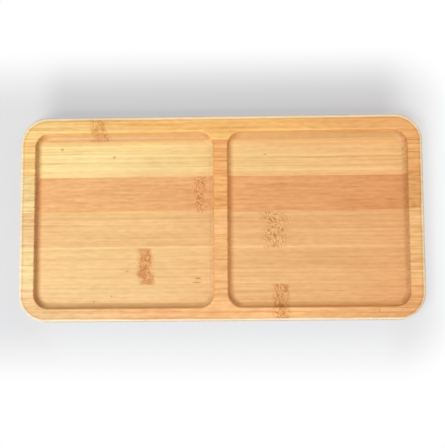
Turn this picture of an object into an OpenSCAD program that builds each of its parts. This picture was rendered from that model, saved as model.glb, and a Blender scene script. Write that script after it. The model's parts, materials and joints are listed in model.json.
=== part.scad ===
// Divided compartment plate: a bamboo board with two shallow square compartments side by side.
// The board is glued up from flat bamboo strips in two plies, and all strips run along its length.
// Origin: centre of the underside. +X along the length, +Y to the back, +Z up. Millimetres.

/* [Board] */
// Length of the board, along the grain
board_l = 250; // [200:1:320]
// Width of the board, across the grain
board_w = 127.6; // [100:1:170]
// Radius of the board's corners, seen from above
corner_r = 17; // [8:0.5:26]
// Rounding of the outer edges, above and below
edge_r = 1.5; // [0.5:0.1:3]

/* [Lamination] */
// Thickness of the face ply, which the compartments are cut into
face_ply_t = 7; // [6:0.1:10]
// Thickness of the backing ply
backing_ply_t = 5; // [3.5:0.1:8]
// Width of a whole bamboo strip
strip_w = 22.5; // [16:0.1:30]

/* [Compartments] */
// Width of the rim at each short end
end_rim = 9.4; // [6:0.1:14]
// Width of the rim along the back
back_rim = 10; // [6:0.1:14]
// Width of the rim along the front
front_rim = 8; // [6:0.1:14]
// Width of the divider between the two compartments
divider_w = 8.6; // [6:0.1:20]
// Depth of the compartments below the rim
pocket_depth = 5; // [3:0.1:6]
// Radius of the compartments' corners, seen from above
pocket_corner_r = 9; // [5:0.5:16]
// Radius of the cove where a compartment's wall runs into its floor
cove_r = 4; // [1:0.1:5]
// Rounding of the rim where it drops into a compartment
lip_r = 0.8; // [0.2:0.1:1.5]

/* [Hidden] */
$fn = 96;

// Least straight wall that stays between the lip's rounding and the cove
wall_min = 0.2;
// How far a cutting shape runs past the surfaces that it cuts
cut_past = 1;

// Heights of the board
board_t = face_ply_t + backing_ply_t;
floor_z = board_t - pocket_depth;

// Compartments: the rims and the divider leave them their size and place
pocket_l = (board_l - 2 * end_rim - divider_w) / 2;
pocket_w = board_w - back_rim - front_rim;
pocket_x = (divider_w + pocket_l) / 2;
pocket_y = (front_rim - back_rim) / 2;

// The cove is no larger than the wall and the corner that it runs round
cove = min(cove_r, pocket_depth - lip_r - wall_min, pocket_corner_r - wall_min);

// Whole strips are laid from one long edge, and the last strip is sawn to what is left
strip_count = max(3, round(board_w / strip_w));
sawn_strip_w = board_w - (strip_count - 1) * strip_w;

// Colours of the strips, from the back of the board to the front
amber = [0.89, 0.66, 0.41];
honey = [0.92, 0.73, 0.48];
straw = [0.95, 0.81, 0.57];
face_tones = [honey, straw, amber, honey, honey, straw];
backing_tones = [straw, honey, honey, straw, amber, honey];

// Names of a ply's strips, from the back of the board to the front: its two edges, and those between
function strip_names(ply_name) = concat(
    [str(ply_name, "_back_strip")],
    [for (i = [1 : strip_count - 2]) str(ply_name, "_strip_", i)],
    [str(ply_name, "_front_strip")]
);
face_names = strip_names("face");
backing_names = strip_names("backing");

// Joint behind and in front of a face strip: the sawn strip lies at the back
function face_joint_y(i) = board_w / 2 - sawn_strip_w - (i - 1) * strip_w;
// The backing ply is the same panel turned round, so that no two joints lie above each other
function backing_joint_y(i) = -face_joint_y(strip_count - i);

// Solid over a rectangle with round corners, with the 2D children as the outline of its edge.
// The outline starts on a corner's axis, and reaches out as far as the corner's radius.
module round_rectangle(length, width, radius, height) {
    straight_l = length - 2 * radius;
    straight_w = width - 2 * radius;
    translate([-straight_l / 2, -straight_w / 2, 0])
        cube([straight_l, straight_w, height]);
    for (turn = [0, 180]) {
        rotate(turn)
            translate([straight_l / 2, straight_w / 2, 0])
                rotate([90, 0, 0])
                    linear_extrude(straight_w) children();
        rotate(turn)
            translate([-straight_l / 2, straight_w / 2, 0])
                rotate([90, 0, 90])
                    linear_extrude(straight_l) children();
    }
    for (flip_x = [0, 1], flip_y = [0, 1])
        mirror([flip_x, 0, 0])
            mirror([0, flip_y, 0])
                translate([straight_l / 2, straight_w / 2, 0])
                    rotate_extrude(angle = 90) children();
}

// Edge of a ply: upright, and rounded at the top
module ply_edge(ply_t) {
    square([corner_r - edge_r, ply_t]);
    square([corner_r, ply_t - edge_r]);
    translate([corner_r - edge_r, ply_t - edge_r]) circle(edge_r);
}

// One ply of the board, before its strips are told apart, rounded at the top
module ply(ply_t) {
    round_rectangle(board_l, board_w, corner_r, ply_t) ply_edge(ply_t);
}

// Edge of a compartment's hollow: a cove at the floor, a short wall and a rounded lip
module pocket_edge() {
    difference() {
        union() {
            square([pocket_corner_r - cove, pocket_depth]);
            translate([0, cove]) square([pocket_corner_r, pocket_depth - cove]);
            translate([pocket_corner_r - cove, cove]) circle(cove);
            translate([0, pocket_depth - lip_r])
                square([pocket_corner_r + lip_r, lip_r + cut_past]);
        }
        translate([pocket_corner_r + lip_r, pocket_depth - lip_r]) circle(lip_r);
    }
}

// Hollow of one compartment, from its floor to past the rim
module pocket() {
    round_rectangle(pocket_l, pocket_w, pocket_corner_r, pocket_depth + cut_past) pocket_edge();
}

// Slice of the board between two joints, right through both plies
module slice(back_y, front_y) {
    translate([-board_l / 2 - cut_past, front_y, -cut_past])
        cube([board_l + 2 * cut_past, back_y - front_y, board_t + 2 * cut_past]);
}

// Strip of the face ply, with its share of both compartments
module face_strip(i) {
    back_y = i == 1 ? board_w / 2 + cut_past : face_joint_y(i - 1);
    front_y = i == strip_count ? -board_w / 2 - cut_past : face_joint_y(i);
    color(face_tones[(i - 1) % len(face_tones)])
        intersection() {
            difference() {
                translate([0, 0, backing_ply_t]) ply(face_ply_t);
                for (side = [-1, 1])
                    translate([side * pocket_x, pocket_y, floor_z]) pocket();
            }
            slice(back_y, front_y);
        }
}

// Strip of the backing ply, which the board rests on
module backing_strip(i) {
    back_y = i == 1 ? board_w / 2 + cut_past : backing_joint_y(i - 1);
    front_y = i == strip_count ? -board_w / 2 - cut_past : backing_joint_y(i);
    color(backing_tones[(i - 1) % len(backing_tones)])
        intersection() {
            translate([0, 0, backing_ply_t]) mirror([0, 0, 1]) ply(backing_ply_t);
            slice(back_y, front_y);
        }
}

for (i = [1 : strip_count]) {
    face_strip(i);
    backing_strip(i);
}
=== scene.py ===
# %% [markdown]
# # A bamboo plate with two compartments
#
# The plate is glued up from flat strips of bamboo, and two shallow compartments are cut into its face. The
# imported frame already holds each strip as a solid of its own, with the coves, the lips and the rounded
# edges at their real size. What is left to make is the bamboo itself: its fibres, its node marks, its
# tones, and the sanded and oiled surface. So the strips stay as they are, and each gets a material of its
# own.

import json
from math import radians

import bmesh
import bpy
from mathutils import Matrix, Vector


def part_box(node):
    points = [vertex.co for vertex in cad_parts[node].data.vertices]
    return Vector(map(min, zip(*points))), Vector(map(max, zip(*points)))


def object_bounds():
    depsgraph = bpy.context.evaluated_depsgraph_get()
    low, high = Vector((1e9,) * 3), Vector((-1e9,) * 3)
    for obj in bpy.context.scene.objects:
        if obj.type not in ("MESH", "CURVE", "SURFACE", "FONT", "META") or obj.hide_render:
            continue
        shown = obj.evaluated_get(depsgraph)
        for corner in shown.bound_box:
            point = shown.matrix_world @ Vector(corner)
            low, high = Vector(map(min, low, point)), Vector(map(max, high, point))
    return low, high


MM = 0.001

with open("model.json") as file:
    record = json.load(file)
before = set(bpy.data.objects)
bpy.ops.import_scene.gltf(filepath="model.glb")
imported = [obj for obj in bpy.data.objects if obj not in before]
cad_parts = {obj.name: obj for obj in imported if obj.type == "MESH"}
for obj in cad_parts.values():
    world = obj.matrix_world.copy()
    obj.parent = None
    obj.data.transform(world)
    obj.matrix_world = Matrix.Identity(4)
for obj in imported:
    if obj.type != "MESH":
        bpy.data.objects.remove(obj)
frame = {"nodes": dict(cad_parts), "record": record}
cad_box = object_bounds()
print("Strips:", ", ".join(sorted(frame["nodes"])))
print("Plate, in millimetres:", [round((high - low) / MM, 1) for low, high in zip(*cad_box)])

# %% [markdown]
# ## The camera
#
# The picture is taken from high above the plate, a little in front of it and to the right, with a longish
# lens. A camera could be turned by hand until the picture fits. Here the edges of the plate run almost
# level in the picture, so the camera's own axes are worked out from the point that it aims at and from the
# way to the back of the plate, and then rolled by a small angle.

# %% Stand the camera over the plate
LENS = 90
EYE = Vector((24.7, -89.5, 697.1)) * MM
AIM = Vector((1.05, -4.45, 12)) * MM
ROLL = radians(-0.316)
TO_THE_BACK = Vector((0, 1, 0))


def look_down(eye, aim, roll):
    """Place of a camera that looks from eye to aim, with the back of the plate at the top of the picture."""
    forward = (aim - eye).normalized()
    right = forward.cross(TO_THE_BACK).normalized()
    up = right.cross(forward)
    turn = Matrix((right, up, -forward)).transposed().to_4x4()
    return Matrix.Translation(eye) @ turn @ Matrix.Rotation(roll, 4, "Z")


lens = bpy.data.cameras.new("camera")
lens.lens = LENS
camera = bpy.data.objects.new("camera", lens)
camera.matrix_world = look_down(EYE, AIM, ROLL)
bpy.context.scene.collection.objects.link(camera)
bpy.context.scene.camera = camera
print("Camera stands", round((EYE - AIM).length, 3), "m from the plate")

# %% [markdown]
# ## The lamps
#
# A broad soft lamp stands high to the left of the plate and in front, so the left and front walls of the
# compartments lie in shade. A weak, warm lamp from the right and behind stands for the light that a room
# throws back into that shade. A third one, weak and low in front, lets the back walls and their lips catch
# the light. A sun lamp would cut the shade off sharply: an area lamp gives the soft edge that daylight from
# a window has.

# %% Hang the lamps
KEY_PLACE = Vector((-0.5, -0.45, 1.04))
KEY_SIDE = 0.55
KEY_WATTS = 12.2
FILL_PLACE = Vector((0.65, 0.42, 0.55))
FILL_SIDE = 0.6
FILL_WATTS = 2.4
FILL_COLOUR = (1.0, 0.76, 0.54)
FRONT_PLACE = Vector((-0.05, -0.7, 0.25))
FRONT_SIDE = 0.4
FRONT_WATTS = 0.5


def add_lamp(name, place, side, watts, colour=(1, 1, 1)):
    """Square area lamp that faces the middle of the plate."""
    lamp = bpy.data.lights.new(name, "AREA")
    lamp.size = side
    lamp.energy = watts
    lamp.color = colour
    stand = bpy.data.objects.new(name, lamp)
    stand.location = place
    stand.rotation_euler = (-place).to_track_quat("-Z", "Y").to_euler()
    bpy.context.scene.collection.objects.link(stand)
    print(name, "of", watts, "W stands", round(place.length, 2), "m away")


add_lamp("key_lamp", KEY_PLACE, KEY_SIDE, KEY_WATTS)
add_lamp("fill_lamp", FILL_PLACE, FILL_SIDE, FILL_WATTS, FILL_COLOUR)
add_lamp("front_lamp", FRONT_PLACE, FRONT_SIDE, FRONT_WATTS)

# %% [markdown]
# ## The sky
#
# Walls and ceiling throw light back from all sides. A ring of lamps could do that, but a world of one plain
# colour does it with a single node: at a low strength it lifts the deepest shade and casts no shadow of its
# own. The Standard view then shows a colour about as it is written.

# %% Fill the shade with sky light
SKY_COLOUR = (1.0, 0.98, 0.95, 1)
SKY_STRENGTH = 0.17

sky = bpy.data.worlds.new("sky")
sky.use_nodes = True
sky.node_tree.nodes["Background"].inputs["Color"].default_value = SKY_COLOUR
sky.node_tree.nodes["Background"].inputs["Strength"].default_value = SKY_STRENGTH
bpy.context.scene.world = sky
bpy.context.scene.view_settings.view_transform = "Standard"
print("Sky shines at a strength of", SKY_STRENGTH)

# %% [markdown]
# ## Shorthand for shader nodes
#
# A material is a graph of nodes, and making each node by hand takes many lines. These few helpers add a
# node, feed its inputs with a link or a plain number, and hand back its output, so that a pattern below
# reads like a formula.

# %% Helpers for numbers and vectors
def add_node(tree, kind, **settings):
    """Adds a node to a tree and sets its properties."""
    node = tree.nodes.new(kind)
    for name, value in settings.items():
        setattr(node, name, value)
    return node


def feed(tree, socket, value):
    """Links an output into a socket, or sets the socket to a plain value."""
    if isinstance(value, bpy.types.NodeSocket):
        tree.links.new(value, socket)
    else:
        socket.default_value = value


def calc(tree, operation, *values):
    """Output of a Math node."""
    node = add_node(tree, "ShaderNodeMath", operation=operation)
    for socket, value in zip(node.inputs, values):
        feed(tree, socket, value)
    return node.outputs["Value"]


def times(tree, first, second):
    """Product of two values."""
    return calc(tree, "MULTIPLY", first, second)


def step(tree, value, start, end):
    """Soft step: 0 where the value is at start, 1 where it is at end, which may be below start."""
    node = add_node(tree, "ShaderNodeMapRange", interpolation_type="SMOOTHSTEP")
    feed(tree, node.inputs["Value"], value)
    feed(tree, node.inputs["From Min"], start)
    feed(tree, node.inputs["From Max"], end)
    return node.outputs["Result"]


def vector_calc(tree, operation, *values):
    """Output of a Vector Math node that gives a vector."""
    node = add_node(tree, "ShaderNodeVectorMath", operation=operation)
    for socket, value in zip(node.inputs, values):
        feed(tree, socket, value)
    return node.outputs["Vector"]


def length(tree, vector):
    """Length of a vector."""
    node = add_node(tree, "ShaderNodeVectorMath", operation="LENGTH")
    feed(tree, node.inputs[0], vector)
    return node.outputs["Value"]


def axis_parts(tree, vector):
    """X, Y and Z outputs of a vector."""
    node = add_node(tree, "ShaderNodeSeparateXYZ")
    feed(tree, node.inputs["Vector"], vector)
    return node.outputs["X"], node.outputs["Y"], node.outputs["Z"]


print("Helpers for numbers and vectors are ready")

# %% [markdown]
# ## Noise, colours and groups
#
# Nearly all that is irregular in bamboo runs along the grain, so the noise helper stretches its pattern by a
# scale for each axis. What several strips need could be copied into each material. It becomes a node group
# instead: a small graph with named inputs and outputs, which is built once and then placed in each material
# with its own values.

# %% Helpers for noise, colours and groups
NOISE_MIDDLE = 0.5
MIX_FACTOR, MIX_FIRST, MIX_SECOND, MIX_RESULT = 0, 6, 7, 2


def noise(tree, vector, scale, detail=0.0):
    """Noise node on a vector that is stretched by a scale for each axis, in features per metre."""
    node = add_node(tree, "ShaderNodeTexNoise")
    feed(tree, node.inputs["Vector"], vector_calc(tree, "MULTIPLY", vector, scale))
    node.inputs["Scale"].default_value = 1.0
    node.inputs["Detail"].default_value = detail
    return node.outputs


def swing(tree, vector, scale, detail):
    """Noise that swings about 0."""
    return calc(tree, "SUBTRACT", noise(tree, vector, scale, detail)["Fac"], NOISE_MIDDLE)


def blend(tree, factor, first, second, mode="MIX"):
    """Colour between two others. The Mix node's sockets for colours come after those for numbers."""
    node = add_node(tree, "ShaderNodeMix", data_type="RGBA", blend_type=mode)
    feed(tree, node.inputs[MIX_FACTOR], factor)
    feed(tree, node.inputs[MIX_FIRST], first)
    feed(tree, node.inputs[MIX_SECOND], second)
    return node.outputs[MIX_RESULT]


def start_group(name, inputs, outputs):
    """Empty node group with named sockets: its tree, what goes in, and what has to come out."""
    tree = bpy.data.node_groups.new(name, "ShaderNodeTree")
    for label, kind in inputs.items():
        tree.interface.new_socket(name=label, in_out="INPUT", socket_type="NodeSocket" + kind)
    for label, kind in outputs.items():
        tree.interface.new_socket(name=label, in_out="OUTPUT", socket_type="NodeSocket" + kind)
    entry = add_node(tree, "NodeGroupInput").outputs
    leave = add_node(tree, "NodeGroupOutput").inputs
    return tree, entry, leave


def use_group(tree, group, **values):
    """Places a group in a tree and feeds its inputs: a space in a socket's name is an underscore here."""
    node = add_node(tree, "ShaderNodeGroup", node_tree=group)
    for name, value in values.items():
        feed(tree, node.inputs[name.replace("_", " ")], value)
    return node.outputs


print("Helpers for noise, colours and groups are ready")

# %% [markdown]
# ## Fibres
#
# A bamboo stem is a soft pale ground with bundles of dark, hard fibres that run along it, each about half a
# millimetre thick. On the face of a strip the bundles show as long fine lines, and on its sawn end as dots.
# Lines drawn on the face alone would break at every edge, so the bundles are a pattern in space: cells that
# are stretched along the grain, cut by whatever surface the strip has there. Softer noises, stretched the
# same way, give the long streaks and the broad bands of the ground between them. A strip's seed shifts the
# whole pattern, so that no two strips are alike.

# %% Places that wander
SEED_SHIFT = (0.37, 0.113, 0.071)
COLOUR_MIDDLE = (NOISE_MIDDLE, NOISE_MIDDLE, NOISE_MIDDLE)
WANDER_SCALE = (9, 20, 20)
WANDER_REACH = (0, 0.7 * MM, 0.7 * MM)
SWIRL_SCALE = (210, 210, 210)
SWIRL_REACH = 6 * MM


def seeded(tree, entry):
    """Place that is shifted by the seed of the strip."""
    return vector_calc(tree, "MULTIPLY_ADD", entry["Seed"], SEED_SHIFT, entry["Vector"])


def pushed(tree, place, scale, reach):
    """Place that a noise in space pushes about."""
    push = vector_calc(tree, "SUBTRACT", noise(tree, place, scale)["Color"], COLOUR_MIDDLE)
    return vector_calc(tree, "MULTIPLY_ADD", push, reach, place)


print("Fibres wander by up to", round(WANDER_REACH[1] / MM / 2, 2), "mm to each side")

# %% Fibre group
LONG_STREAK_SCALE = (5, 580, 580)
LONG_STREAK_WEIGHT = 0.7
SHORT_FLECK_SCALE = (160, 640, 640)
BROAD_BAND_SCALE = (14, 105, 105)
BROAD_BAND_WEIGHT = 0.5
LINE_SCALE = (10, 760, 760)
LINE_RANGE = (0.56, 0.7)
BUNDLE_CELLS = (11, 800, 800)
BUNDLE_RANGE = (0.42, 0.14)
HAIR_SCALE = (80, 2200, 2200)


def make_fibres():
    """Group that gives the grain of a strip, its sparse dark lines, its fibre bundles and its fine hairs."""
    tree, entry, leave = start_group(
        "bamboo_fibres",
        {"Vector": "Vector", "Seed": "Float", "Shortness": "Float", "Flecks": "Float", "Swirl": "Float"},
        {"Grain": "Float", "Lines": "Float", "Bundles": "Float", "Hairs": "Float"},
    )
    place = pushed(tree, seeded(tree, entry), WANDER_SCALE, WANDER_REACH)
    place = pushed(tree, place, SWIRL_SCALE, times(tree, entry["Swirl"], SWIRL_REACH))
    squeeze = add_node(tree, "ShaderNodeCombineXYZ")
    feed(tree, squeeze.inputs["X"], entry["Shortness"])
    squeeze.inputs["Y"].default_value = 1.0
    squeeze.inputs["Z"].default_value = 1.0
    squeezed = vector_calc(tree, "MULTIPLY", place, squeeze.outputs["Vector"])

    layers = (
        (squeezed, LONG_STREAK_SCALE, LONG_STREAK_WEIGHT),
        (place, SHORT_FLECK_SCALE, entry["Flecks"]),
        (place, BROAD_BAND_SCALE, BROAD_BAND_WEIGHT),
    )
    grain = NOISE_MIDDLE
    for where, scale, weight in layers:
        grain = calc(tree, "MULTIPLY_ADD", swing(tree, where, scale, detail=1.0), weight, grain)
    feed(tree, leave["Grain"], grain)
    dark_lines = noise(tree, squeezed, LINE_SCALE, detail=1.0)["Fac"]
    feed(tree, leave["Lines"], step(tree, dark_lines, *LINE_RANGE))
    cells = add_node(tree, "ShaderNodeTexVoronoi")
    feed(tree, cells.inputs["Vector"], vector_calc(tree, "MULTIPLY", place, BUNDLE_CELLS))
    cells.inputs["Scale"].default_value = 1.0
    feed(tree, leave["Bundles"], step(tree, cells.outputs["Distance"], *BUNDLE_RANGE))
    feed(tree, leave["Hairs"], noise(tree, place, HAIR_SCALE, detail=1.0)["Fac"])
    return tree


fibres = make_fibres()
print(fibres.name, "has", len(fibres.nodes), "nodes")

# %% [markdown]
# ## Node marks
#
# Every 20 to 40 centimetres a stem has a node, where a wall crosses it inside. There the fibres curl round
# each other, and a planed strip shows a ragged brown mark right across it. A painted picture would do, but
# the mark also runs down the walls of a compartment. So the curls are lines across the grain that a noise
# in space bends into loops, broken up into short pieces and kept to a ragged slab round the node. Between
# the curls the ground is paler, and the slab also has a stain, with pale flecks in it.

# %% Node mark group
RAGGED_SCALE = (120, 120, 120)
RAGGED_REACH = 1.9
SLAB_RANGE = (1.35, 0.4)
CURL_SCALE = (290, 260, 260)
CURL_REACH = 5.5
CURL_PITCH = 2.0 * MM
CURL_SLANT = 0.4
RIPPLE_TOP = 0.5
CURL_RANGE = (0.32, 0.1)
GAP_RANGE = (0.3, 0.46)
PATCH_SCALE = (320, 320, 320)
PATCH_RANGE = (0.3, 0.46)
PALE_FLECK_SCALE = (260, 420, 420)
PALE_FLECK_RANGE = (0.7, 0.4)
PALE_FLECK_STAIN = 0.5


def make_node_mark():
    """Group that gives a node's slab, the curled lines in it, the pale gaps between them and its stain."""
    tree, entry, leave = start_group(
        "bamboo_node_mark",
        {"Vector": "Vector", "Seed": "Float", "Place": "Float", "Half Width": "Float", "Fineness": "Float"},
        {"Slab": "Float", "Curls": "Float", "Gaps": "Float", "Stain": "Float"},
    )
    place = seeded(tree, entry)
    along, _, _ = axis_parts(tree, entry["Vector"])
    offset = calc(tree, "DIVIDE", calc(tree, "SUBTRACT", along, entry["Place"]), entry["Half Width"])
    offset = calc(tree, "MULTIPLY_ADD", swing(tree, place, RAGGED_SCALE, detail=2.0), RAGGED_REACH, offset)
    slab = step(tree, calc(tree, "ABSOLUTE", offset), *SLAB_RANGE)
    feed(tree, leave["Slab"], slab)

    fine_place = vector_calc(tree, "MULTIPLY", place, entry["Fineness"])
    bend = times(tree, swing(tree, fine_place, CURL_SCALE, detail=1.0), slab)
    fine_along, fine_across, _ = axis_parts(tree, fine_place)
    slanted = calc(tree, "MULTIPLY_ADD", fine_across, CURL_SLANT, fine_along)
    level = calc(tree, "MULTIPLY_ADD", bend, CURL_REACH, calc(tree, "DIVIDE", slanted, CURL_PITCH))
    ripple = calc(tree, "PINGPONG", level, RIPPLE_TOP)
    patches = times(tree, step(tree, noise(tree, place, PATCH_SCALE)["Fac"], *PATCH_RANGE), slab)
    feed(tree, leave["Curls"], times(tree, step(tree, ripple, *CURL_RANGE), patches))
    feed(tree, leave["Gaps"], times(tree, step(tree, ripple, *GAP_RANGE), patches))

    unflecked = step(tree, noise(tree, place, PALE_FLECK_SCALE)["Fac"], *PALE_FLECK_RANGE)
    stain = calc(tree, "MULTIPLY_ADD", unflecked, 1 - PALE_FLECK_STAIN, PALE_FLECK_STAIN)
    feed(tree, leave["Stain"], times(tree, stain, slab))
    return tree


node_mark = make_node_mark()
print(node_mark.name, "has", len(node_mark.nodes), "nodes")

# %% [markdown]
# ## Where a surface lies in its strip
#
# A strip is the wall of a stem, and its tone changes from the skin side to the hollow side. The rim is the
# top of the strip and the floor of a compartment lies 5 mm deeper, so the two differ in tone. The height
# above the floor, read from the object's own coordinates, blends one into the other down the wall. Where a
# surface faces along the grain, the fibres are cut across and drink more oil, so the sawn ends and the end
# walls are darker. That darkening also carries painted shade on the end walls of the compartments, so it is
# full towards the ends of the plate and weak on the thin divider, which stays paler. The lower part of the
# coves that face left and to the back gets a little painted shade, and the lip where the rim drops into a
# compartment gets a painted highlight. Along a glued joint the squeezed edge of a strip shows as a thin pale
# line, and some strips are browner along both of their edges. Each of these could be painted on by hand, but
# a soft step on a height, a place or a slope finds it in every strip. The pairs of numbers say where such a
# step starts and where it is full.

# %% Place in the strip group
FLOOR_Z = next(m["pos_m"][2] for m in frame["record"]["mounts"] if m["name"] == "left_compartment_floor")
RIM_Z = cad_box[1].z
HALF_LENGTH = cad_box[1].x
RIM_RANGE = (FLOOR_Z + 0.5 * MM, RIM_Z - 0.7 * MM)
RIGHT_RANGE = (-0.8 * HALF_LENGTH, 1.15 * HALF_LENGTH)
LEFT_END_RANGE = (-0.2 * HALF_LENGTH, -0.95 * HALF_LENGTH)
RIGHT_END_RANGE = (0.1 * HALF_LENGTH, 0.85 * HALF_LENGTH)
END_WALL_SHADE_RANGE = (0.25 * HALF_LENGTH, 0.8 * HALF_LENGTH)
DIVIDER_WALL_SHADE = 0.1
SAWN_SLOPE = (0.1, 0.8)
COVE_FOOT_SLOPE = (0.03, 0.3)
COVE_HEAD_SLOPE = (0.75, 0.35)
LIP_HEIGHT = (RIM_Z - 2.4 * MM, RIM_Z - 0.9 * MM)
LIP_SLOPE = (0.98, 0.7)
SOFT_EDGE_RANGE = (5 * MM, 0.0)
GLUE_RANGE = (1.26 * MM, 0.54 * MM)
GLUE_BREAK_SCALE = (25, 25, 25)
GLUE_BREAK_RANGE = (0.22, 0.45)


def make_cut():
    """Group that tells where: rim, side, end, sawn end with end-wall shade, cove shade, lip, edge, glued
    joint.
    """
    places = ("Rim", "Right", "Left End", "Right End", "End Grain And Wall Shade", "Cove Painted Shade", "Lip", "Edges", "Glue")
    tree, entry, leave = start_group(
        "bamboo_cut",
        {"Vector": "Vector", "Normal": "Vector", "Front Joint": "Float", "Back Joint": "Float"},
        {name: "Float" for name in places},
    )
    along, across, height = axis_parts(tree, entry["Vector"])
    feed(tree, leave["Rim"], step(tree, height, *RIM_RANGE))
    feed(tree, leave["Right"], step(tree, along, *RIGHT_RANGE))
    feed(tree, leave["Left End"], step(tree, along, *LEFT_END_RANGE))
    feed(tree, leave["Right End"], step(tree, along, *RIGHT_END_RANGE))

    lengthwise, crosswise, upright = axis_parts(tree, entry["Normal"])
    # Painted shade on the end walls: the darkening of sawn surfaces is full towards the ends of the plate and
    # weak on the divider.
    by_the_ends = step(tree, calc(tree, "ABSOLUTE", along), *END_WALL_SHADE_RANGE)
    end_wall_shade = calc(tree, "MULTIPLY_ADD", by_the_ends, 1 - DIVIDER_WALL_SHADE, DIVIDER_WALL_SHADE)
    sawn = step(tree, calc(tree, "ABSOLUTE", lengthwise), *SAWN_SLOPE)
    feed(tree, leave["End Grain And Wall Shade"], times(tree, sawn, end_wall_shade))
    # Painted shade in the lower part of the coves that face left and to the back.
    lean = calc(tree, "MAXIMUM", times(tree, lengthwise, -1.0), crosswise)
    cove_shade = times(tree, step(tree, lean, *COVE_FOOT_SLOPE), step(tree, lean, *COVE_HEAD_SLOPE))
    feed(tree, leave["Cove Painted Shade"], cove_shade)
    # Where the lip gets its painted highlight.
    feed(tree, leave["Lip"], times(tree, step(tree, height, *LIP_HEIGHT), step(tree, upright, *LIP_SLOPE)))

    from_front = calc(tree, "SUBTRACT", across, entry["Front Joint"])
    from_back = calc(tree, "SUBTRACT", entry["Back Joint"], across)
    feed(tree, leave["Edges"], step(tree, calc(tree, "MINIMUM", from_front, from_back), *SOFT_EDGE_RANGE))
    breaks = noise(tree, entry["Vector"], GLUE_BREAK_SCALE, detail=1.0)["Fac"]
    unbroken = step(tree, breaks, *GLUE_BREAK_RANGE)
    feed(tree, leave["Glue"], times(tree, step(tree, from_front, *GLUE_RANGE), unbroken))
    return tree


cut = make_cut()
print("Floors lie", round((RIM_Z - FLOOR_Z) / MM, 2), "mm below the rim")

# %% [markdown]
# ## The painted light of the edge
#
# The outer edge is rounded over and sanded after the plate is cut out. A pale line all round is painted on
# the rounding as a highlight, with a darker line of painted shade inside it where the rounding starts. Edge
# wear is often found from the bend of the surface, but that reads the mesh, and it changes with the number
# of facets. The outline is a rectangle with round corners, and the distance to it is a short formula, so
# both lines follow that. The formula's outline is shifted by a fraction of a millimetre, so the pale line is
# wider at the back than at the front.

# %% Edge light and shade group
HALF_WIDTH = cad_box[1].y
NOTHING = (0, 0, 0)
CORNER_RADIUS = 17 * MM
EDGE_ROUNDING = 1.5 * MM
PALE_EDGE_SHIFT = (0, 0.5 * MM, 0)
STRAIGHT_REACH = (HALF_LENGTH - CORNER_RADIUS, HALF_WIDTH - CORNER_RADIUS, RIM_Z)
RAGGED_EDGE_SCALE = (60, 60, 60)
RAGGED_EDGE_REACH = 0.6 * EDGE_ROUNDING
PALE_RANGE = (1.6 * EDGE_ROUNDING, 0.9 * EDGE_ROUNDING)
PALE_HEIGHT = (RIM_Z - 2.0 * EDGE_ROUNDING, RIM_Z - 0.9 * EDGE_ROUNDING)
EDGE_LINE_MIDDLE = 1.7 * EDGE_ROUNDING
EDGE_LINE_RANGE = (0.6 * EDGE_ROUNDING, 0.1 * EDGE_ROUNDING)


def make_edge_light_and_shade():
    """Group that gives the painted highlight on the outer edge's rounding and the painted shade line inside
    it.
    """
    tree, entry, leave = start_group(
        "edge_light_and_shade", {"Vector": "Vector"}, {"Pale": "Float", "Line": "Float"}
    )
    shifted = vector_calc(tree, "ADD", entry["Vector"], PALE_EDGE_SHIFT)
    beyond = vector_calc(tree, "SUBTRACT", vector_calc(tree, "ABSOLUTE", shifted), STRAIGHT_REACH)
    reach = length(tree, vector_calc(tree, "MAXIMUM", beyond, NOTHING))
    inside = calc(tree, "SUBTRACT", CORNER_RADIUS, reach)
    ragged = noise(tree, entry["Vector"], RAGGED_EDGE_SCALE, detail=2.0)["Fac"]
    inside = calc(tree, "MULTIPLY_ADD", ragged, RAGGED_EDGE_REACH, inside)
    _, _, height = axis_parts(tree, entry["Vector"])
    feed(tree, leave["Pale"], times(tree, step(tree, inside, *PALE_RANGE), step(tree, height, *PALE_HEIGHT)))
    off_line = calc(tree, "ABSOLUTE", calc(tree, "SUBTRACT", inside, EDGE_LINE_MIDDLE))
    feed(tree, leave["Line"], step(tree, off_line, *EDGE_LINE_RANGE))
    return tree


edge_light_and_shade = make_edge_light_and_shade()
print(edge_light_and_shade.name, "has", len(edge_light_and_shade.nodes), "nodes")

# %% [markdown]
# ## Small blemishes and a line of painted shade
#
# A few dark pits, ticks and smudges lie in the floors and the rims, where a fibre has torn out or a leaf bud
# sat, and a line of painted shade runs along the back rim, just behind the lip. A noise would scatter them
# anywhere. They are so few that each is listed instead: an ellipse, with its middle and its half sizes along
# and across the grain, in millimetres, and a depth that says how dark it is.

# %% Blemish group
BLEMISHES_AND_SHADE_LINE = {
    "pit_at_the_back_left": dict(middle=(-99.7, 44.2), half=(1.4, 1.1), depth=0.8),
    "pit_left_of_the_middle": dict(middle=(-66.8, 38.9), half=(1.1, 1.0), depth=0.8),
    "upper_tick": dict(middle=(-14.3, -37.5), half=(2.4, 0.7), depth=1.0),
    "lower_tick": dict(middle=(-15.2, -40.0), half=(3.8, 0.5), depth=1.0),
    "tick_by_the_stained_node": dict(middle=(-58.4, -32.8), half=(1.5, 0.5), depth=0.8),
    "tick_by_the_front_wall": dict(middle=(-79.0, -51.6), half=(0.5, 1.3), depth=0.7),
    "pit_by_the_front_wall": dict(middle=(-68.1, -48.3), half=(0.8, 0.8), depth=0.7),
    "pit_on_the_right": dict(middle=(27.7, 39.9), half=(1.1, 0.6), depth=0.8),
    "smudge_on_the_right": dict(middle=(105.5, 10.8), half=(5.0, 1.2), depth=0.3),
    "stain_on_the_right_rim": dict(middle=(118.4, 6.8), half=(2.4, 2.6), depth=0.35),
    "tick_on_the_front_rim": dict(middle=(96.3, -58.4), half=(0.6, 1.6), depth=0.6),
    # A line of painted shade just behind the lip of the back wall.
    "painted_shade_behind_the_back_lip": dict(middle=(0.0, 55.7), half=(200.0, 1.0), depth=0.22),
}
DARK_MARK_RANGE = (1.15, 0.2)
DARK_MARK_HEIGHT = (FLOOR_Z - 0.6 * MM, FLOOR_Z - 0.2 * MM)


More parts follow.
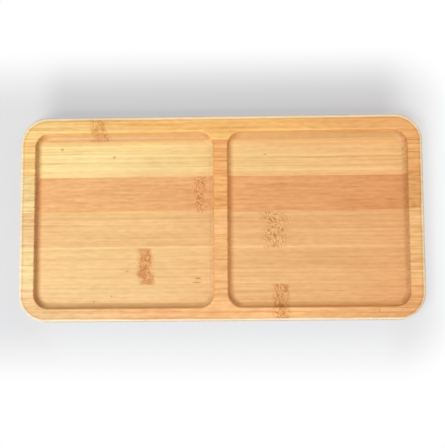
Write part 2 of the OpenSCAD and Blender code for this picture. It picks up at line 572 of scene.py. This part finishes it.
def make_blemishes_and_shade_line():
    """Group that reaches each mark's depth in its middle and is 0 beside it."""
    tree, entry, leave = start_group("blemishes_and_shade_line", {"Vector": "Vector"}, {"Mask": "Float"})
    marks = 0.0
    for dark_mark in BLEMISHES_AND_SHADE_LINE.values():
        along, across = dark_mark["middle"]
        half_along, half_across = dark_mark["half"]
        offset = vector_calc(tree, "SUBTRACT", entry["Vector"], (along * MM, across * MM, 0))
        stretch = (1 / (half_along * MM), 1 / (half_across * MM), 0)
        away = length(tree, vector_calc(tree, "MULTIPLY", offset, stretch))
        mark = times(tree, step(tree, away, *DARK_MARK_RANGE), dark_mark["depth"])
        marks = calc(tree, "MAXIMUM", mark, marks)
    _, _, height = axis_parts(tree, entry["Vector"])
    feed(tree, leave["Mask"], times(tree, marks, step(tree, height, *DARK_MARK_HEIGHT)))
    return tree


blemishes_and_shade_line = make_blemishes_and_shade_line()
print(blemishes_and_shade_line.name, "holds", len(BLEMISHES_AND_SHADE_LINE), "blemishes")

# %% [markdown]
# ## Tones
#
# Raw bamboo is a pale straw, and strips that are steamed before they are glued turn amber. The tones are a
# small palette with names, so that a strip can be described in words. A colour picker shows a colour as six
# hex digits, the way a screen takes it, but a shader works with amounts of light, so a short function turns
# the one into the other.

# %% Palette
def tone(hex_colour):
    """Colour for a shader from six hex digits, as a colour picker shows them, by the sRGB formula."""
    parts = [int(hex_colour[at:at + 2], 16) / 255 for at in (0, 2, 4)]
    return (*(p / 12.92 if p <= 0.04045 else ((p + 0.055) / 1.055) ** 2.4 for p in parts), 1)


WHITE = (1, 1, 1, 1)
CREAM = tone("FFF0D2")
STRAW = tone("FADE9A")
CORN = tone("F1D392")
WHEAT = tone("F4CA8D")
OAT = tone("F2CA8F")
BARLEY = tone("F5C88A")
GOLD = tone("FCD388")
SAFFRON = tone("FFC97B")
MAIZE = tone("FAC788")
APRICOT = tone("FAC081")
PEACH = tone("F2B87A")
HONEY = tone("EEB377")
GINGER = tone("F6B671")
COPPER = tone("F3B672")
TOFFEE = tone("E5B171")
RUST = tone("EAAF6D")
AMBER = tone("E5A065")
print("Straw, as amounts of light:", [round(part, 3) for part in STRAW[:3]])

# %% [markdown]
# ## The ground and its grain
#
# The ground of a strip drifts in tone from one end to the other, and differs between rim and floor. A
# painted picture would fit one strip only, so two blends make it: one along the strip, and one up the wall.
# The grain then darkens and lightens that ground without replacing it, so a strip keeps its own tone. A
# multiplied shade does that. A factor below 1 darkens and one above 1 lightens, and blue is moved more than
# red, because a darker fibre is also a browner one. The grain is stronger on the rim, nearer to the skin of
# the stem, and the dots of the bundles are stronger on a sawn end.

# %% Ground and grain of a strip
FULL = 1.0
GRAIN_DARK = (0.77, 0.64, 0.5, 1)
GRAIN_LIGHT = (1.23, 1.36, 1.5, 1)
FIBRE_SHADE = (0.76, 0.62, 0.46, 1)
RIM_CONTRAST = 0.6
LINE_WEIGHT = 0.3
RIM_LINE_WEIGHT = 0.16
DOT_WEIGHT = 0.16
SAWN_DOT_WEIGHT = 0.55


def shaded(tree, colour, amount, shade):
    """Colour that is multiplied by a shade where the amount is 1, and left alone where it is 0."""
    return blend(tree, FULL, colour, blend(tree, amount, WHITE, shade), "MULTIPLY")


def ground_tone(tree, where, floor, rim):
    """Tone of the bare strip: its floor from left to right, its rim from left over the middle to right."""
    left, middle, right = rim
    floor_tone = blend(tree, where["Right"], *floor)
    rim_tone = blend(tree, where["Left End"], blend(tree, where["Right End"], middle, right), left)
    return blend(tree, where["Rim"], floor_tone, rim_tone)


def grained(tree, ground, grain, where, strength):
    """Ground with its streaks, dark lines and bundles, and the streaks by themselves."""
    contrast = calc(tree, "MULTIPLY_ADD", where["Rim"], RIM_CONTRAST * strength, strength)
    lighter = calc(tree, "SUBTRACT", grain["Grain"], NOISE_MIDDLE)
    level = calc(tree, "MULTIPLY_ADD", lighter, contrast, NOISE_MIDDLE)
    streaks = blend(tree, level, GRAIN_DARK, GRAIN_LIGHT)
    colour = blend(tree, FULL, ground, streaks, "MULTIPLY")
    line_weight = calc(tree, "MULTIPLY_ADD", where["Rim"], RIM_LINE_WEIGHT, LINE_WEIGHT)
    dot_weight = calc(tree, "MULTIPLY_ADD", where["End Grain And Wall Shade"], SAWN_DOT_WEIGHT, DOT_WEIGHT)
    dark = times(tree, grain["Lines"], line_weight)
    dark = calc(tree, "MULTIPLY_ADD", grain["Bundles"], dot_weight, dark)
    return shaded(tree, colour, times(tree, dark, contrast), FIBRE_SHADE), streaks


print("The darkest streaks leave", GRAIN_DARK[0], "of the red and", GRAIN_DARK[2], "of the blue")

# %% [markdown]
# ## Marks on the grain
#
# All else that colours a strip lies over its grain: the stain, the curls and the pale gaps of the node, the
# browner edges and the glue line, the darker sawn ends with painted shade on the end walls, the painted shade
# in the coves, the painted highlight on the lips, the blemishes with a painted shade line behind the back
# lip, and the painted shade line inside the outer edge. Each could have its own lines of code, but each is
# only a mask, an amount and a shade, so a loop lays them on one after the other. The pale edge comes last, a
# painted highlight on the rounding. It is paler than any tone of the strip, so it is blended in and not
# multiplied, with a little of the streaks in it.

# %% Marks of a strip
STAIN_SHADE = (0.79, 0.51, 0.33, 1)
CURL_SHADE = (0.62, 0.42, 0.22, 1)
GAP_SHADE = (1.1, 1.16, 1.22, 1)
SOFT_EDGE_SHADE = (1.0, 0.91, 0.88, 1)
GLUE_SHADE = (1.12, 1.2, 1.26, 1)
# Darker sawn ends, with painted shade on the end walls of the compartments, redder at the left end of the
# plate.
LEFT_END_GRAIN_AND_SHADE = (0.77, 0.66, 0.69, 1)
RIGHT_END_GRAIN_AND_SHADE = (0.78, 0.73, 0.7, 1)
# Painted shade in the coves.
COVE_PAINTED_SHADE = (0.92, 0.9, 0.87, 1)
# Painted highlight on the lips.
LIP_PAINTED_HIGHLIGHT = (1.06, 1.09, 1.12, 1)
# Blemishes, and the painted shade line behind the back lip.
DARK_MARK_SHADE = (0.6, 0.47, 0.34, 1)
# Painted shade line inside the outer edge, where the rounding starts.
EDGE_LINE_PAINTED_SHADE = (0.86, 0.86, 0.84, 1)
# Painted highlight along the rounding of the outer edge.
HIGHLIGHT_STREAKS = 0.4
HIGHLIGHT_COVER = 0.9


def marked(tree, colour, layers):
    """Colour under layers of marks, each a mask, an amount and a shade."""
    for mask, amount, shade in layers:
        colour = shaded(tree, colour, times(tree, mask, amount), shade)
    return colour


def highlighted(tree, colour, pale, streaks):
    """Colour with the painted highlight of the outer edge's rounding over it."""
    pale_wood = blend(tree, HIGHLIGHT_STREAKS, CREAM, streaks, "MULTIPLY")
    return blend(tree, times(tree, pale, HIGHLIGHT_COVER), colour, pale_wood)


print("The sanded edge covers", round(HIGHLIGHT_COVER * 100), "percent of the tone below it")

# %% [markdown]
# ## The oil
#
# The plate is rubbed with oil, which soaks in and leaves a satin sheen. A clear coat would look like varnish,
# so the sheen is that of the surface itself: duller on the hairs and bundles, with a specular level a little
# under the usual one. Modelled fibres would be far too many faces, so a faint bump lets the light catch the
# grain and the curls.

# %% Oil on a strip
ROUGHNESS = 0.36
HAIR_ROUGHNESS = 0.16
BUNDLE_ROUGHNESS = 0.1
OIL_SPECULAR = 0.45
BUNDLE_RELIEF = -0.6
RELIEF_STRENGTH = 0.2
RELIEF_DEPTH = 0.08 * MM


def oil(tree, bamboo, grain, mark):
    """Gives the bamboo its satin sheen and the faint relief of its fibres."""
    dull = calc(tree, "MULTIPLY_ADD", grain["Hairs"], HAIR_ROUGHNESS, ROUGHNESS)
    dull = calc(tree, "MULTIPLY_ADD", grain["Bundles"], BUNDLE_ROUGHNESS, dull)
    feed(tree, bamboo.inputs["Roughness"], dull)
    bamboo.inputs["Specular IOR Level"].default_value = OIL_SPECULAR
    relief = calc(tree, "MULTIPLY_ADD", grain["Bundles"], BUNDLE_RELIEF, grain["Hairs"])
    bump = add_node(tree, "ShaderNodeBump")
    bump.inputs["Strength"].default_value = RELIEF_STRENGTH
    bump.inputs["Distance"].default_value = RELIEF_DEPTH
    feed(tree, bump.inputs["Height"], calc(tree, "SUBTRACT", relief, mark["Curls"]))
    feed(tree, bamboo.inputs["Normal"], bump.outputs["Normal"])


print("The relief of the fibres is", round(RELIEF_DEPTH / MM, 2), "mm deep")

# %% [markdown]
# ## The finish of one strip
#
# All strips are bamboo, but no two have the same tone. Twelve materials by hand would drift apart, so one
# function puts the groups and the steps above together. It takes what sets a strip apart: its seed, its
# tones, the contrast and the length of its grain, and the place and the look of its node mark.

# %% Finish of a strip
NO_NODE = 1.0  # Place of the mark in metres, far beyond the end of the plate


def finish_strip(strip, seed, floor, rim, strength=0.8, shortness=1.0, flecks=0.55,
                 edges=0.0, glue=0.0, node=NO_NODE, node_half=5 * MM, stain=0.15, curls=0.8, fineness=1.0):
    """Oiled bamboo for one strip.

    Floor tones are for the left and the right end, rim tones also for the middle. Strength is the contrast
    of the grain, and a larger shortness gives shorter streaks. Flecks, edges, glue, stain and curls are
    amounts from 0 to 1. The mark of the node lies at node, and a smaller fineness gives wider curls.
    """
    material = bpy.data.materials.new(strip + "_bamboo")
    material.use_nodes = True
    tree = material.node_tree
    bamboo = tree.nodes["Principled BSDF"]
    spot = add_node(tree, "ShaderNodeTexCoord").outputs
    front, back = (corner[1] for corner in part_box(strip))
    mark = use_group(
        tree, node_mark, Vector=spot["Object"], Seed=seed, Place=node, Half_Width=node_half, Fineness=fineness
    )
    grain = use_group(
        tree, fibres, Vector=spot["Object"], Seed=seed, Shortness=shortness, Flecks=flecks, Swirl=mark["Slab"]
    )
    where = use_group(
        tree, cut, Vector=spot["Object"], Normal=spot["Normal"], Front_Joint=front, Back_Joint=back
    )
    edge = use_group(tree, edge_light_and_shade, Vector=spot["Object"])
    dark_mark = use_group(tree, blemishes_and_shade_line, Vector=spot["Object"])

    colour, streaks = grained(tree, ground_tone(tree, where, floor, rim), grain, where, strength)
    layers = (
        (mark["Stain"], stain, STAIN_SHADE),
        (mark["Curls"], curls, CURL_SHADE),
        (mark["Gaps"], curls, GAP_SHADE),
        (where["Edges"], edges, SOFT_EDGE_SHADE),
        (where["Glue"], glue, GLUE_SHADE),
        # Darker sawn ends, with painted shade on the end walls of the compartments.
        (where["End Grain And Wall Shade"], FULL, blend(tree, where["Right"], LEFT_END_GRAIN_AND_SHADE, RIGHT_END_GRAIN_AND_SHADE)),
        # Painted shade in the coves.
        (where["Cove Painted Shade"], FULL, COVE_PAINTED_SHADE),
        # Painted highlight on the lips.
        (where["Lip"], FULL, LIP_PAINTED_HIGHLIGHT),
        # Blemishes, and the painted shade line behind the back lip.
        (dark_mark["Mask"], FULL, DARK_MARK_SHADE),
        # Painted shade line inside the outer edge.
        (edge["Line"], FULL, EDGE_LINE_PAINTED_SHADE),
    )
    # The pale edge is a painted highlight on the rounding.
    colour = highlighted(tree, marked(tree, colour, layers), edge["Pale"], streaks)
    feed(tree, bamboo.inputs["Base Color"], colour)
    oil(tree, bamboo, grain, mark)
    frame["nodes"][strip].material_slots[0].material = material
    print(strip, "is finished with", len(tree.nodes), "nodes")


print("Groups to put together:", ", ".join(group.name for group in bpy.data.node_groups))

# %% [markdown]
# ## The face strips
#
# The six strips of the face come from different stems, so they differ in tone and contrast, and each node
# lies somewhere else. The second strip is pale and plain, with browner edges and no node. The third is
# amber, with short dark flecks, and the fifth has a node with a strong stain. From left to right nearly all
# of them turn a little browner. Random tones would be shorter to write, but they would make some other
# plate, so each strip has an entry of its own, from the back of the plate to the front.

# %% Finish the face strips
FACE_FINISHES = {
    "face_back_strip": dict(
        seed=1, floor=(TOFFEE, TOFFEE), rim=(GOLD, SAFFRON, COPPER), strength=0.65, glue=1.0,
        node=-75.8 * MM, node_half=5.5 * MM, stain=0.45, curls=0.45, fineness=0.85
    ),
    "face_strip_1": dict(
        seed=2, floor=(STRAW, MAIZE), rim=(GOLD, GINGER, COPPER), strength=1.0, shortness=0.7, flecks=0.35,
        edges=1.0
    ),
    "face_strip_2": dict(
        seed=3, floor=(PEACH, AMBER), rim=(CORN, GINGER, RUST), strength=0.8, shortness=5.0, flecks=0.7,
        glue=1.0, node=-12.8 * MM, node_half=4.0 * MM, curls=0.7, fineness=0.95
    ),
    "face_strip_3": dict(
        seed=4, floor=(BARLEY, HONEY), rim=(OAT, APRICOT, MAIZE), strength=0.75, glue=0.8,
        node=33.8 * MM, node_half=8 * MM, stain=0.05, curls=0.75
    ),
    "face_strip_4": dict(
        seed=5, floor=(WHEAT, HONEY), rim=(CORN, PEACH, MAIZE), strength=0.75,
        node=-47 * MM, node_half=4.3 * MM, stain=0.9, curls=0.6, fineness=0.85
    ),
    "face_front_strip": dict(
        seed=6, floor=(OAT, HONEY), rim=(OAT, APRICOT, PEACH), strength=0.8,
        node=36.6 * MM, node_half=4.6 * MM, stain=0.4, curls=0.6, fineness=0.6
    ),
}

for node_name, finish in FACE_FINISHES.items():
    finish_strip(node_name, **finish)

# %% [markdown]
# ## The backing strips
#
# The ply underneath is the same bamboo, laid with its strips the other way round so that no two joints lie
# above each other. Its strips show at the edges of the plate and on the underside. One plain brown would
# be simpler, but the plate can be turned over, so they have the same finish, with other seeds and tones and
# a node mark each.

# %% Finish the backing strips
BACKING_FINISHES = {
    "backing_back_strip": dict(seed=11, floor=(WHEAT, HONEY), rim=(WHEAT, BARLEY, HONEY), node=58 * MM),
    "backing_strip_1": dict(seed=12, floor=(HONEY, HONEY), rim=(HONEY, HONEY, HONEY), node=-92 * MM),
    "backing_strip_2": dict(seed=13, floor=(HONEY, AMBER), rim=(HONEY, COPPER, AMBER), node=14 * MM),
    "backing_strip_3": dict(seed=14, floor=(STRAW, WHEAT), rim=(STRAW, CORN, WHEAT), node=-34 * MM),
    "backing_strip_4": dict(seed=15, floor=(AMBER, HONEY), rim=(AMBER, COPPER, HONEY), node=97 * MM),
    "backing_front_strip": dict(seed=16, floor=(HONEY, HONEY), rim=(HONEY, HONEY, HONEY), node=-15 * MM),
}

for node_name, finish in BACKING_FINISHES.items():
    finish_strip(node_name, **finish)

# %% [markdown]
# ## The floor
#
# The plate lies on a plain pale sheet that takes its shadow. It is a stage and not part of the plate.
# It lies a hair lower than the underside, because two faces in one plane would flicker.
# The sheet is so wide that its far edge stays out of sight in a low view, and a grid of a single face is
# all that it needs.

# %% Lay the floor
FLOOR_SIDE = 40
FLOOR_GAP = 0.2 * MM

sheet_mesh = bpy.data.meshes.new("floor_sheet")
sheet = bmesh.new()
bmesh.ops.create_grid(sheet, x_segments=1, y_segments=1, size=FLOOR_SIDE / 2)
bmesh.ops.translate(sheet, vec=(0, 0, -FLOOR_GAP), verts=sheet.verts)
sheet.to_mesh(sheet_mesh)
sheet.free()
floor_sheet = bpy.data.objects.new("floor_sheet", sheet_mesh)
bpy.context.scene.collection.objects.link(floor_sheet)
print("Floor is", FLOOR_SIDE, "m wide")

# %% [markdown]
# ## The paper of the floor
#
# More lamps would make the shadow softer and the sheet whiter, but they would also light the plate. So a
# part of the sheet is a plain glow that only the camera and mirrored rays see, and that throws no soft
# light on the plate. It is more than half of the sheet next to the plate, where its grey is a painted soft
# shadow round the plate, and all of it a hand's breadth away, where the sheet is white. The painted shadow is
# deepest behind the plate, away from the lamp, so that the soft shadow keeps its weight there. Close to the
# back edge the glow takes a larger share again, which paints light into the darkest line of the real shadow.

# %% Glow of the paper
GREY_REACH = 45 * MM
GREY_MIDDLE = (-18 * MM, 4 * MM, 0)
# Greys of the painted soft shadow next to the plate, deeper behind it.
SIDE_PAINTED_SHADOW = tone("E8E9EB")
BACK_PAINTED_SHADOW = tone("C5C6C9")
BEHIND_ENDS = (0.98 * HALF_LENGTH, 0.78 * HALF_LENGTH)
BEHIND_RANGE = (0.5 * HALF_WIDTH, HALF_WIDTH)
THIN_SHADOW_RANGE = (HALF_WIDTH + 8.5 * MM, HALF_WIDTH + 2 * MM)
THIN_SHADOW_LIFT = 0.8


def paper_glow(tree):
    """Colour of the glow with its painted shadow, and how far the glow has taken the place of the lit paper.
    """
    ground = add_node(tree, "ShaderNodeTexCoord").outputs["Object"]
    along, across, _ = axis_parts(tree, ground)
    between_ends = step(tree, calc(tree, "ABSOLUTE", along), *BEHIND_ENDS)
    behind = times(tree, step(tree, across, *BEHIND_RANGE), between_ends)
    feet = vector_calc(tree, "ABSOLUTE", vector_calc(tree, "SUBTRACT", ground, GREY_MIDDLE))
    beyond = vector_calc(tree, "MAXIMUM", vector_calc(tree, "SUBTRACT", feet, cad_box[1]), NOTHING)
    far = step(tree, length(tree, beyond), 0.0, GREY_REACH)
    # Next to the plate the glow is a painted soft shadow, deepest behind the plate.
    colour = blend(tree, far, blend(tree, behind, SIDE_PAINTED_SHADOW, BACK_PAINTED_SHADOW), WHITE)
    # Painted light that thins the real shadow close to the back edge.
    close = times(tree, step(tree, across, *THIN_SHADOW_RANGE), between_ends)
    return colour, calc(tree, "MAXIMUM", far, times(tree, close, THIN_SHADOW_LIFT))


print("The grey of the paper fades within", round(GREY_REACH / MM), "mm")

# %% Paper of the floor
PAPER = tone("DCDEE1")
PAPER_ROUGHNESS = 0.7
SHADOW_LIFT = 0.62


def make_paper():
    """Pale paper that keeps its shadow, and glows for the camera and for mirrored rays."""
    paper = bpy.data.materials.new("pale_floor")
    paper.use_nodes = True
    tree = paper.node_tree
    lit = tree.nodes["Principled BSDF"]
    lit.inputs["Base Color"].default_value = PAPER
    lit.inputs["Roughness"].default_value = PAPER_ROUGHNESS
    colour, taken = paper_glow(tree)
    glow = add_node(tree, "ShaderNodeEmission")
    feed(tree, glow.inputs["Color"], colour)
    share = calc(tree, "MULTIPLY_ADD", taken, 1 - SHADOW_LIFT, SHADOW_LIFT)
    ray = add_node(tree, "ShaderNodeLightPath").outputs
    seen = calc(tree, "MAXIMUM", ray["Is Camera Ray"], ray["Is Glossy Ray"])
    seen = calc(tree, "MAXIMUM", seen, ray["Is Transmission Ray"])
    surface = add_node(tree, "ShaderNodeMixShader")
    parts = (times(tree, seen, share), lit.outputs["BSDF"], glow.outputs["Emission"])
    for socket, part in zip(surface.inputs, parts):
        feed(tree, socket, part)
    feed(tree, tree.nodes["Material Output"].inputs["Surface"], surface.outputs["Shader"])
    return paper


sheet_mesh.materials.append(make_paper())
print("Next to the plate,", round(SHADOW_LIFT * 100), "percent of the paper is glow")
